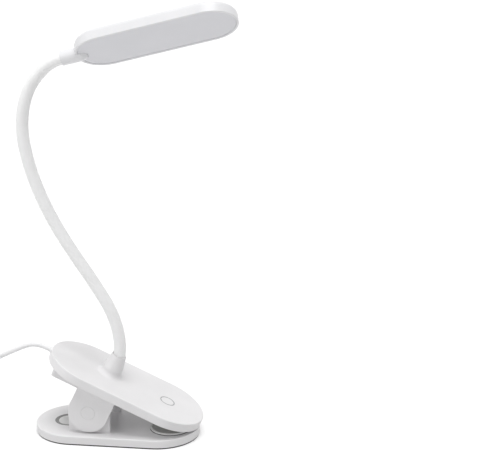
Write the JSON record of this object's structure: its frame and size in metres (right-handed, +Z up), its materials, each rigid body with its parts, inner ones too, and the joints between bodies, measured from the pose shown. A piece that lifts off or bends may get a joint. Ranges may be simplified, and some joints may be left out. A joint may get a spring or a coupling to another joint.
{
  "type": "clip on reading lamp",
  "caption": "Clip-on LED reading lamp: a spring clip of two round-ended jaws, a bendable neck on the upper jaw, a flat stadium-shaped head and a USB lead.",
  "frame": {"origin": "centre of the flat underside of the lower jaw, on the surface it stands on", "axes": "+X towards the mouth of the clip and the way the head points, +Z up, +Y to the left of someone looking along +X"},
  "size_m": [0.265, 0.0796, 0.3176],
  "materials": {
    "white_abs": "moulded white ABS, fine satin texture",
    "white_silicone": "matte white silicone rubber sleeve",
    "sole_rubber": "black non-slip rubber",
    "grip_silicone": "soft white silicone",
    "steel": "zinc plated steel",
    "spring_steel": "spring steel wire",
    "grey_ring": "grey light ring",
    "copper": "copper foil",
    "circuit_board": "green solder mask",
    "components": "black epoxy packages",
    "led_board_metal": "aluminium board with white mask",
    "led": "yellow phosphor lens",
    "reflector_film": "white film",
    "frosted_diffuser": "frosted polycarbonate",
    "wire_insulation": "PVC insulated wire",
    "lead_pvc": "soft white PVC jacket",
    "plug_metal": "nickel plated steel shell",
    "tie_strap": "white hook-and-loop strap"
  },
  "bodies": {
    "lower_jaw": {"lower_shell": "white_abs", "lower_base_plate": "white_abs", "sole_pad": "sole_rubber", "lower_grip_pad": "grip_silicone", "rear_round_pad": "grip_silicone", "lower_screws": "steel", "hinge_pin": "steel", "torsion_spring": "spring_steel", "usb_lead": "lead_pvc", "usb_lead_coil": "lead_pvc", "lead_tie": "tie_strap", "usb_plug_body": "lead_pvc", "usb_plug_shell": "plug_metal"},
    "upper_jaw": {"upper_cover": "white_abs", "upper_base_plate": "white_abs", "upper_grip_pad": "grip_silicone", "touch_ring": "grey_ring", "touch_electrode": "copper", "control_board": "circuit_board", "board_components": "components", "upper_screws": "steel", "neck_nut": "steel", "lead_grommet": "lead_pvc", "lead_inside": "wire_insulation", "hinge_caps": "white_abs", "neck_sleeve_0": "white_silicone", "neck_core_0": "steel", "lamp_wires_0": "wire_insulation"},
    "neck_1": {"neck_sleeve_1": "white_silicone", "neck_core_1": "steel", "lamp_wires_1": "wire_insulation"},
    "neck_2": {"neck_sleeve_2": "white_silicone", "neck_core_2": "steel", "lamp_wires_2": "wire_insulation"},
    "neck_3": {"neck_sleeve_3": "white_silicone", "neck_core_3": "steel", "lamp_wires_3": "wire_insulation"},
    "neck_4": {"neck_sleeve_4": "white_silicone", "neck_core_4": "steel", "lamp_wires_4": "wire_insulation"},
    "neck_5": {"neck_sleeve_5": "white_silicone", "neck_core_5": "steel", "lamp_wires_5": "wire_insulation"},
    "neck_6": {"neck_sleeve_6": "white_silicone", "neck_core_6": "steel", "lamp_wires_6": "wire_insulation"},
    "neck_7": {"neck_sleeve_7": "white_silicone", "neck_core_7": "steel", "lamp_wires_7": "wire_insulation"},
    "head": {"head_cover": "white_abs", "head_diffuser": "frosted_diffuser", "reflector": "reflector_film", "led_board": "led_board_metal", "leds": "led", "head_screws": "steel", "neck_socket": "white_abs", "neck_sleeve_8": "white_silicone", "neck_core_8": "steel", "lamp_wires_8": "wire_insulation"}
  },
  "joints": [
    {"name": "jaw_hinge", "type": "hinge", "parent": "lower_jaw", "child": "upper_jaw", "pos_m": [-0.0165, 0, 0.0228], "axis": [0, -1, 0], "range_deg": [0, 62], "stiffness_Nm_per_rad": 0.6, "springref_deg": -40.11, "deforming": ["torsion_spring", "usb_lead"]},
    {"name": "neck_swing_1", "type": "hinge", "parent": "upper_jaw", "child": "neck_1", "pos_m": [0.00288, 0, 0.07002], "axis": [-0.9962, 0, -0.0872], "range_deg": [-25, 25]},
    {"name": "neck_tilt_2", "type": "hinge", "parent": "neck_1", "child": "neck_2", "pos_m": [-0.00651, 0, 0.09982], "axis": [0, 1, 0], "range_deg": [-25, 25]},
    {"name": "neck_swing_3", "type": "hinge", "parent": "neck_2", "child": "neck_3", "pos_m": [-0.0232, 0, 0.12653], "axis": [-0.829, 0, -0.5592], "range_deg": [-25, 25]},
    {"name": "neck_tilt_4", "type": "hinge", "parent": "neck_3", "child": "neck_4", "pos_m": [-0.03966, 0, 0.15338], "axis": [0, 1, 0], "range_deg": [-25, 25]},
    {"name": "neck_swing_5", "type": "hinge", "parent": "neck_4", "child": "neck_5", "pos_m": [-0.05283, 0, 0.18196], "axis": [-0.9367, 0, -0.3502], "range_deg": [-25, 25]},
    {"name": "neck_tilt_6", "type": "hinge", "parent": "neck_5", "child": "neck_6", "pos_m": [-0.06097, 0, 0.21234], "axis": [0, 1, 0], "range_deg": [-25, 25]},
    {"name": "neck_swing_7", "type": "hinge", "parent": "neck_6", "child": "neck_7", "pos_m": [-0.05947, 0, 0.24357], "axis": [-0.9659, 0, 0.2588], "range_deg": [-25, 25]},
    {"name": "neck_tilt_8", "type": "hinge", "parent": "neck_7", "child": "head", "pos_m": [-0.04249, 0, 0.26947], "axis": [0, 1, 0], "range_deg": [-25, 25]}
  ]
}
